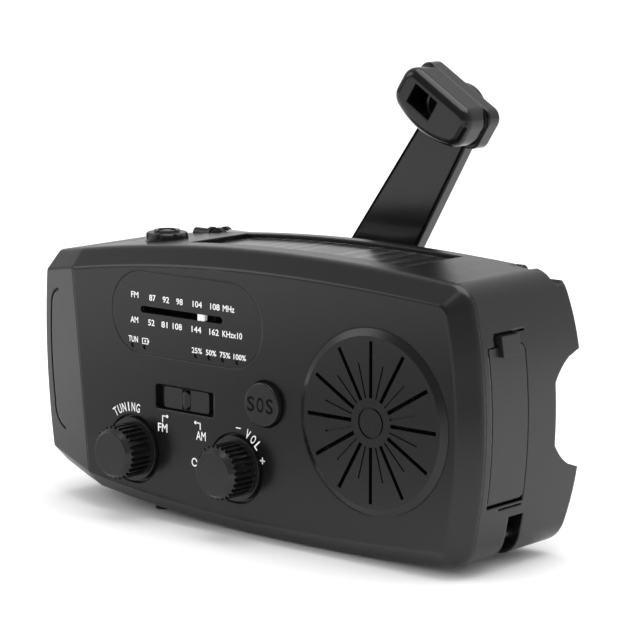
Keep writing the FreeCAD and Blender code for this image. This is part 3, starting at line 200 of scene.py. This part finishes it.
# ---------------------------------------------------------------- finishes
CASE = plastic("case_black", 0.005, 0.24, 0.6 * MM, 0.04)
COVER = plastic("front_black", 0.005, 0.24, 0.6 * MM, 0.04, 0.54)
CAP = plastic("cap_black", 0.005, 0.3, 0.6 * MM, 0.04, 0.38)
DOOR = plastic("door_black", 0.012, 0.35, 0.2 * MM, 0.08)
PANEL = plastic("panel_black", 0.007, 0.24, 0.1 * MM, 0.03, 0.5)
CONTROL = plastic("control_black", 0.009, 0.26, 0.25 * MM, 0.04, 0.6)
SPEAKER = plastic("grille_black", 0.004, 0.28, 0.0, 0.02, 0.54)
CRANK = plastic("crank_black", 0.004, 0.17, 0.4 * MM, 0.03)
WHITE = two_tone("pointer_white", 0.95, 0.004, FRONT + 1.0 * MM)
INK = plastic("print_white", 0.85, 0.55, 0.0, 0.05)
ENGRAVED = plastic("engraved_dark", 0.003, 0.7, 0.0, 0.05, 0.1)
DARK_LED = plastic("led_dark", 0.006, 0.25, 0.0, 0.02)
RUBBER = plastic("rubber_black", 0.012, 0.75, 0.2 * MM, 0.5)
BOARD = plastic("board_green", 0.03, 0.5, 0.05 * MM, 0.2)
CONE = plastic("cone_paper", 0.02, 0.85, 0.1 * MM, 0.6)
GEAR = plastic("gear_nylon", 0.62, 0.4, 0.1 * MM, 0.1)
BATTERY = plastic("battery_wrap", 0.12, 0.35, 0.3 * MM, 0.1)
FERRITE = plastic("ferrite_grey", 0.03, 0.6, 0.2 * MM, 0.4)
CHROME = metal("chrome", (0.7, 0.7, 0.71), 0.16)
BLACK_NICKEL = metal("black_nickel", (0.05, 0.05, 0.052), 0.3)
STEEL = metal("steel", (0.55, 0.55, 0.56), 0.3)
BRASS = metal("brass", (0.75, 0.6, 0.3), 0.28)
REFLECTOR = metal("reflector", (0.88, 0.88, 0.88), 0.08)
CLEAR = clear_plastic("lens_clear", (0.98, 0.98, 0.98), 0.05)
SOLAR_CLEAR = clear_plastic("solar_clear", (0.9, 0.9, 0.92), 0.16)
CELL = solar_film("solar_film")
LED_WHITE = plastic("led_white", 0.7, 0.2, 0.0, 0.02)

FINISHES = {
    "front_cover": COVER, "main_housing": CASE, "lamp_cap": CAP, "lamp_lens": CLEAR,
    "lamp_reflector": REFLECTOR, "lamp_leds": LED_WHITE, "lamp_board": BOARD, "dial_panel": PANEL,
    "dial_pointer": WHITE, "dial_rail": ENGRAVED, "indicator_leds": DARK_LED,
    "speaker_grille": SPEAKER, "speaker_frame": STEEL, "speaker_cone": CONE,
    "speaker_magnet": FERRITE, "tuning_knob": CONTROL, "volume_knob": CONTROL,
    "tuning_capacitor": GEAR, "volume_control": STEEL, "band_slider": CONTROL,
    "band_switch": STEEL, "sos_button": CONTROL, "sos_switch": CONTROL,
    "lamp_button": CONTROL, "lamp_switch": CONTROL, "solar_cell": CELL,
    "solar_window": SOLAR_CLEAR, "port_door": DOOR, "door_tab": DOOR, "usb_socket": STEEL,
    "micro_usb_socket": STEEL, "strap_bar": CASE, "antenna_base": BLACK_NICKEL,
    "antenna_knuckle": BLACK_NICKEL, "antenna_pin": BLACK_NICKEL, "antenna_tube_1": CHROME,
    "antenna_tube_2": CHROME, "antenna_tube_3": CHROME, "antenna_rod": BLACK_NICKEL,
    "crank_hub": CRANK, "crank_pin": STEEL, "crank_arm": CRANK, "crank_grip": CRANK,
    "grip_screw": STEEL, "drive_gear": GEAR, "idler_gear": GEAR, "idler_axle": STEEL,
    "gear_plate": STEEL, "generator_rotor": STEEL, "generator_case": STEEL,
    "crank_bushing": BRASS, "main_board": BOARD, "battery": BATTERY, "ferrite_rod": FERRITE,
    "case_screws": STEEL, "feet": RUBBER,
}
for node_name, node in NODES.items():
    for material_slot in node.material_slots:
        material_slot.material = FINISHES[node_name]


# ---------------------------------------------------------------- printing
def add_piece(name, mesh, material, body):
    mesh.materials.clear()
    mesh.materials.append(material)
    piece = bpy.data.objects.new(name, mesh)
    bpy.context.scene.collection.objects.link(piece)
    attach(piece, body)


def text_mesh(name, words):
    """Letters as a flat mesh, in a unit box centred on the origin."""
    curve = bpy.data.curves.new(name, "FONT")
    curve.body = words
    curve.extrude = 0.01
    curve.offset = 0.012
    curve.resolution_u = 4
    holder = bpy.data.objects.new(name + "_curve", curve)
    bpy.context.scene.collection.objects.link(holder)
    bpy.context.view_layer.update()
    settled = holder.evaluated_get(bpy.context.evaluated_depsgraph_get())
    mesh = bpy.data.meshes.new_from_object(settled)
    bpy.data.objects.remove(holder)
    bpy.data.curves.remove(curve)
    xs = [v.co.x for v in mesh.vertices]
    ys = [v.co.y for v in mesh.vertices]
    mesh.transform(Matrix.Translation((-(min(xs) + max(xs)) / 2, -(min(ys) + max(ys)) / 2, 0)))
    mesh.transform(Matrix.Diagonal((1 / (max(xs) - min(xs)), 1 / (max(ys) - min(ys)), 50.0, 1)))
    return mesh


def onto_front(mesh, x, z, width, height, turn=0.0, proud=0.0):
    """Places a unit mesh on the front face, at millimetres x and z."""
    place = Matrix.Translation((x * MM, FRONT - proud - PRINT_T / 2, z * MM))
    spin = Matrix.Rotation(math.radians(-turn), 4, "Y")
    stand = Matrix.Rotation(math.radians(90), 4, "X")
    size = Matrix.Diagonal((width * MM, height * MM, PRINT_T, 1))
    mesh.transform(place @ spin @ stand @ size)


def printed(name, words, x, z, width, height, turn=0.0):
    mesh = text_mesh(name, words)
    onto_front(mesh, x, z, width, height, turn)
    add_piece(name, mesh, INK, "case")


BLOCK_SIDES = ((0, 1, 2, 3), (7, 6, 5, 4), (0, 4, 5, 1), (1, 5, 6, 2), (2, 6, 7, 3), (3, 7, 4, 0))


def printed_blocks(name, blocks):
    """Printed rectangles (x0, x1, z0, z1 in millimetres) joined in one piece."""
    vertices, faces = [], []
    for x0, x1, z0, z1 in blocks:
        first = len(vertices)
        for y in (FRONT - PRINT_T, FRONT):
            vertices += [(x * MM, y, z * MM) for x, z in ((x0, z0), (x1, z0), (x1, z1), (x0, z1))]
        for quad in BLOCK_SIDES:
            faces.append([first + i for i in quad])
    mesh = bpy.data.meshes.new(name)
    mesh.from_pydata(vertices, [], faces)
    mesh.update()
    add_piece(name, mesh, INK, "case")


# dial: words with their x, z and width in millimetres
SCALE_TEXT_H, LAMP_TEXT_H = 1.35, 1.2
FM_Z, AM_Z, CHARGE_Z = 49.2, 43.75, 39.2
SCALES = {
    "fm": (("FM", -29.3, FM_Z + 0.2, 2.2), ("87", -24.0, FM_Z, 1.9), ("92", -20.0, FM_Z, 1.9),
           ("98", -16.0, FM_Z, 1.9), ("104", -10.8, FM_Z, 2.7), ("108", -5.7, FM_Z, 2.7),
           ("MHz", -1.8, FM_Z, 3.3)),
    "am": (("AM", -29.5, AM_Z + 0.15, 2.3), ("52", -24.4, AM_Z, 1.9), ("81", -20.5, AM_Z, 1.8),
           ("108", -16.7, AM_Z, 2.7), ("144", -11.1, AM_Z, 2.8), ("162", -6.0, AM_Z, 2.7),
           ("KHzx10", -0.8, AM_Z, 5.6)),
}
for band, entries in SCALES.items():
    for words, x, z, width in entries:
        printed(f"dial_{words}_{band}", words, x, z, width, SCALE_TEXT_H)

printed("dial_TUN", "TUN", -29.9, 39.6, 2.8, 1.3)
for share, x, width in (("25", -11.0, 3.0), ("50", -6.9, 3.0), ("75", -2.9, 3.0), ("100", 1.3, 3.5)):
    printed(f"dial_{share}_percent", share + "%", x, CHARGE_Z, width, LAMP_TEXT_H)

# outline of a battery, its contact, and a plus in it; from the middle of the sign
BATTERY_X, BATTERY_Z = -26.2, 39.5
BATTERY_SIGN = ((-1.0, 0.8, 0.5, 0.66), (-1.0, 0.8, -0.66, -0.5), (-1.0, -0.82, -0.5, 0.5),
                (0.62, 0.8, -0.5, 0.5), (0.8, 1.05, -0.25, 0.25), (-0.4, 0.2, -0.08, 0.08),
                (-0.18, -0.02, -0.3, -0.08), (-0.18, -0.02, 0.08, 0.3))
printed_blocks("battery_icon", [(BATTERY_X + x0, BATTERY_X + x1, BATTERY_Z + z0, BATTERY_Z + z1)
                                for x0, x1, z0, z1 in BATTERY_SIGN])

# words bent round the knobs
TUNING_X, VOLUME_X, KNOB_Z = -30.15, -0.05, 15.2
LETTER_I_WIDTH = 0.35


def bent_word(name, word, centre_x, radius, first, step, width, height):
    """Letters round a knob, clockwise from the angle of the first one."""
    for i, letter in enumerate(word):
        angle = first - step * i
        x = centre_x + radius * math.cos(math.radians(angle))
        z = KNOB_Z + radius * math.sin(math.radians(angle))
        letter_width = LETTER_I_WIDTH if letter == "I" else width
        printed(f"{name}_letter_{i}", letter, x, z, letter_width, height, angle - 90.0)


bent_word("tuning", "TUNING", TUNING_X, 9.3, 125.0, 8.8, 1.1, 2.0)
bent_word("volume", "VOL", VOLUME_X, 8.6, 65.5, 11.8, 1.15, 2.1)
printed("volume_off", "OFF", -10.9, 14.8, 3.8, 1.9)
printed_blocks("volume_minus", [(0.1, 1.5, 23.9, 24.15)])
printed_blocks("volume_plus", [(6.9, 8.3, 17.78, 18.02), (7.48, 7.72, 17.2, 18.6)])

# band marks under the switch
MARK_LINE, MARK_DROP, MARK_REACH = 0.25, 1.2, 1.2
DOT_R, DOT_STEPS = 0.36, 24
printed("switch_fm", "FM", -21.3, 21.1, 2.8, 1.9)
printed("switch_am", "AM", -10.0, 20.8, 2.8, 1.9)


def switch_mark(name, x, z, side):
    """Tick that bends towards the switch and ends in a dot."""
    low, high = z + 0.1, z + 0.1 + MARK_LINE
    left, right = sorted((x, x + side * MARK_REACH))
    printed_blocks(name, [(x - 0.14, x + 0.14, z - MARK_DROP, high), (left, right, low, high)])
    centre_x, centre_z = x + side * 1.35, z + 0.22
    ring = []
    for i in range(DOT_STEPS):
        angle = 2 * math.pi * i / DOT_STEPS
        ring.append(((centre_x + DOT_R * math.cos(angle)) * MM, FRONT - PRINT_T,
                     (centre_z + DOT_R * math.sin(angle)) * MM))
    dot = bpy.data.meshes.new(name + "_dot")
    dot.from_pydata(ring, [], [list(range(DOT_STEPS))])
    add_piece(name + "_dot", dot, INK, "case")


switch_mark("switch_mark_fm", -21.3, 23.5, 1)
switch_mark("switch_mark_am", -10.2, 23.3, -1)

# dark letters on the button
SOS_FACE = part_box("sos_button")[0].y
SOS_X, SOS_Z, SOS_STEP = 8.3, 30.15, 2.6
SOS_LETTER_W, SOS_LETTER_H = 1.9, 3.2
for i, letter in enumerate("SOS"):
    mesh = text_mesh(f"sos_letter_{i}", letter)
    x = SOS_X + SOS_STEP * (i - 1)
    onto_front(mesh, x, SOS_Z, SOS_LETTER_W, SOS_LETTER_H, 0.0, FRONT - SOS_FACE)
    add_piece(f"sos_letter_{i}", mesh, ENGRAVED, "sos")

# dark ring on the top beside the lamp button, in millimetres; its depth is from the front face
RING_X, RING_DEPTH, RING_R, RING_HALF_W = -37.2, 26.0, 2.85, 0.11
CREST_X, CREST_Z, ARCH_R = 10.0, 61.7, 400.0      # the arch of the case top
RING_STEPS = 48


def ring_mesh(name):
    """Thin closed band that follows the arched top."""
    vertices = []
    for i in range(RING_STEPS):
        angle = 2 * math.pi * i / RING_STEPS
        for radius in (RING_R - RING_HALF_W, RING_R + RING_HALF_W):
            x = RING_X + radius * math.cos(angle)
            z = CREST_Z - (x - CREST_X) ** 2 / (2 * ARCH_R)
            y = FRONT + (RING_DEPTH + radius * math.sin(angle)) * MM
            vertices += [(x * MM, y, z * MM), (x * MM, y, z * MM + PRINT_T)]
    faces = []
    for i in range(RING_STEPS):
        here, there = 4 * i, 4 * ((i + 1) % RING_STEPS)
        for p, q in ((1, 3), (3, 2), (2, 0), (0, 1)):
            faces.append((here + p, here + q, there + q, there + p))
    mesh = bpy.data.meshes.new(name)
    mesh.from_pydata(vertices, [], faces)
    mesh.update()
    return mesh


add_piece("top_ring", ring_mesh("top_ring"), ENGRAVED, "case")


# ---------------------------------------------------------------- studio
FLOOR_HALF = 12.0
FLOOR_TONE = 0.93
# painted reflection: glossy surfaces see the floor painted dark in two spots before the radio; its
# tone in the middle and outside of the spots
PAINTED_REFLECTION_SPOTS = ((-0.06, -0.18, 0.20), (0.32, -0.24, 0.34))   # x, y, radius
PAINTED_REFLECTION_LOW, PAINTED_REFLECTION_HIGH = 0.0, 0.8
# strength of the room, and its painted reflection: what glossy surfaces see of it, dimmed in front
# and brighter behind
ROOM, PAINTED_REFLECTION_ROOM_FRONT, PAINTED_REFLECTION_ROOM_BACK = 1.1, 0.15, 0.8


def painted_reflection_spot_share(tree, place, x, y, radius):
    """Distance from a painted reflection spot, as a share of its radius."""
    distance = tree.nodes.new("ShaderNodeVectorMath")
    distance.operation = "DISTANCE"
    distance.inputs[1].default_value = (x, y, 0.0)
    tree.links.new(place, distance.inputs[0])
    share = tree.nodes.new("ShaderNodeMath")
    share.operation = "DIVIDE"
    share.inputs[1].default_value = radius
    tree.links.new(distance.outputs["Value"], share.inputs[0])
    return share.outputs["Value"]


def floor_material():
    """White floor; painted reflection: glossy surfaces see it fade to dark towards two spots before
    the radio, which paints dark reflections on the radio.
    """
    material, tree, shader = new_material("floor_white")
    coordinates = tree.nodes.new("ShaderNodeTexCoord")
    nearest = tree.nodes.new("ShaderNodeMath")
    nearest.operation = "MINIMUM"
    for socket, (x, y, radius) in zip(nearest.inputs, PAINTED_REFLECTION_SPOTS):
        tree.links.new(painted_reflection_spot_share(tree, coordinates.outputs["Object"], x, y, radius), socket)
    fade = remap(tree, nearest.outputs["Value"], PAINTED_REFLECTION_LOW, PAINTED_REFLECTION_HIGH)
    path = tree.nodes.new("ShaderNodeLightPath")
    # painted reflection: only glossy rays see the floor darkened by the spots
    mix = colour_mix(tree, shader, grey(FLOOR_TONE), grey(FLOOR_TONE), path.outputs["Is Glossy Ray"])
    tree.links.new(fade, mix.inputs[COLOUR_B])
    uneven_roughness(tree, shader, noise(tree, 2.0), 0.58, 0.62)
    shader.inputs["Specular IOR Level"].default_value = 0.0
    return material


floor_mesh = bpy.data.meshes.new("floor")
floor_corners = [(x * FLOOR_HALF, y * FLOOR_HALF, 0) for x, y in ((-1, -1), (1, -1), (1, 1), (-1, 1))]
floor_mesh.from_pydata(floor_corners, [], [(0, 1, 2, 3)])
floor_mesh.materials.append(floor_material())
floor = bpy.data.objects.new("floor", floor_mesh)
bpy.context.scene.collection.objects.link(floor)


def studio_world():
    """White room; painted reflection: glossy surfaces see it dimmed in front and brighter behind,
    darker than the room that lights the scene.
    """
    world = bpy.data.worlds.new("studio")
    world.use_nodes = True
    tree = world.node_tree
    background = tree.nodes["Background"]
    background.inputs["Color"].default_value = (*grey(1.0), 1.0)
    coordinates = tree.nodes.new("ShaderNodeTexCoord")
    split = tree.nodes.new("ShaderNodeSeparateXYZ")
    tree.links.new(coordinates.outputs["Generated"], split.inputs["Vector"])
    gradient = tree.nodes.new("ShaderNodeMapRange")
    gradient.inputs["From Min"].default_value = -1.0
    gradient.inputs["From Max"].default_value = 1.0
    gradient.inputs["To Min"].default_value = PAINTED_REFLECTION_ROOM_FRONT
    gradient.inputs["To Max"].default_value = PAINTED_REFLECTION_ROOM_BACK
    tree.links.new(split.outputs["Y"], gradient.inputs["Value"])
    # painted reflection: glossy rays see the dimmed gradient in place of the room's strength
    path = tree.nodes.new("ShaderNodeLightPath")
    mix = tree.nodes.new("ShaderNodeMix")
    mix.inputs[NUMBER_A].default_value = ROOM
    tree.links.new(path.outputs["Is Glossy Ray"], mix.inputs[MIX_FACTOR])
    tree.links.new(gradient.outputs["Result"], mix.inputs[NUMBER_B])
    tree.links.new(mix.outputs[NUMBER_OUT], background.inputs["Strength"])
    return world


bpy.context.scene.world = studio_world()
bpy.context.scene.view_settings.view_transform = "Standard"

AIM = Vector((0, 0, 0.03))                 # the middle of the case


def softbox(name, place, size, power):
    lamp = bpy.data.lights.new(name, "AREA")
    lamp.shape = "SQUARE"
    lamp.size = size
    lamp.energy = power
    holder = bpy.data.objects.new(name, lamp)
    holder.location = place
    holder.rotation_euler = (AIM - Vector(place)).to_track_quat("-Z", "Y").to_euler()
    bpy.context.scene.collection.objects.link(holder)


softbox("top_light", (0.1, 0.1, 1.0), 0.9, 6.0)
softbox("left_light", (-0.7, -0.5, 0.5), 0.5, 1.2)

CAMERA_PLACE, CAMERA_LENS = (0.39087, -0.44935, 0.1456), 157.54
CAMERA_DOWN, CAMERA_TURN = 9.659, 40.667   # degrees below the horizon, and round from straight ahead

camera_data = bpy.data.cameras.new("camera")
camera_data.lens = CAMERA_LENS
camera = bpy.data.objects.new("camera", camera_data)
camera.location = CAMERA_PLACE
camera.rotation_euler = (math.radians(90.0 - CAMERA_DOWN), 0.0, math.radians(CAMERA_TURN))
bpy.context.scene.collection.objects.link(camera)
bpy.context.scene.camera = camera
